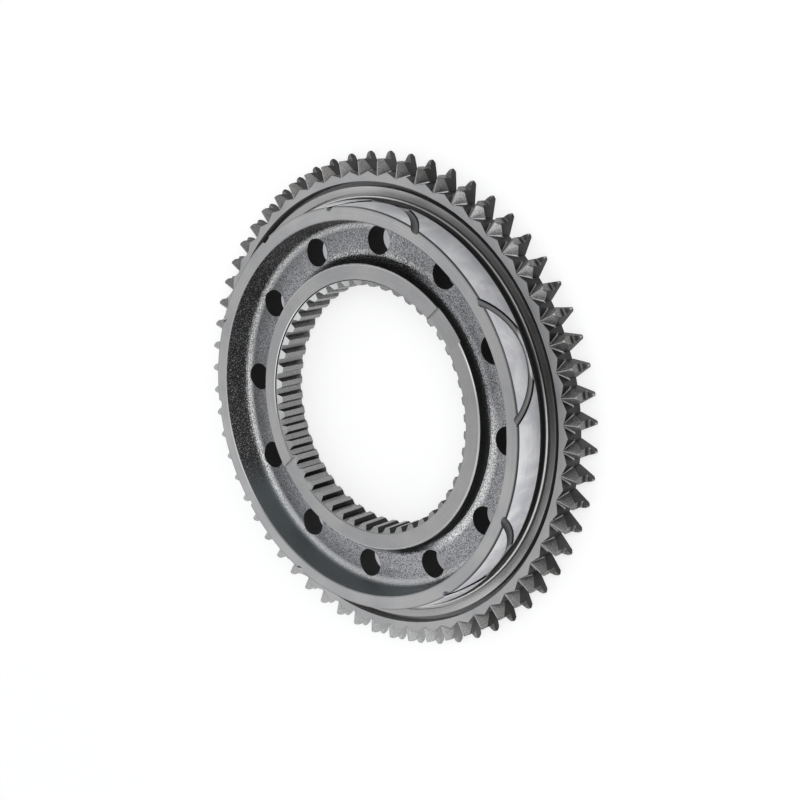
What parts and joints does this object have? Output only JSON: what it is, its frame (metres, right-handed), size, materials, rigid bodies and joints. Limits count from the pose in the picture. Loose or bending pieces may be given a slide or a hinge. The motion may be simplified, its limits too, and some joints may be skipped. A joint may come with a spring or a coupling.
{
  "type": "synchronizer gear",
  "caption": "Steel synchronizer gear of a heavy gearbox: pointed dog teeth around a flange, grooved friction cone, drilled forged web and splined hub bore.",
  "frame": {"origin": "on the gear's axis, at the flat back face it lies on", "axes": "+Z along the axis, from the back face towards the friction cone; +X through the middle of a gap between two dog teeth"},
  "size_m": [0.1968, 0.1968, 0.0211],
  "materials": {
    "steel": "forged and sand-blasted dark in the web, turned on the faces, ground on the cone"
  },
  "bodies": {
    "root": {"synchronizer_gear": "steel"}
  },
  "joints": []
}
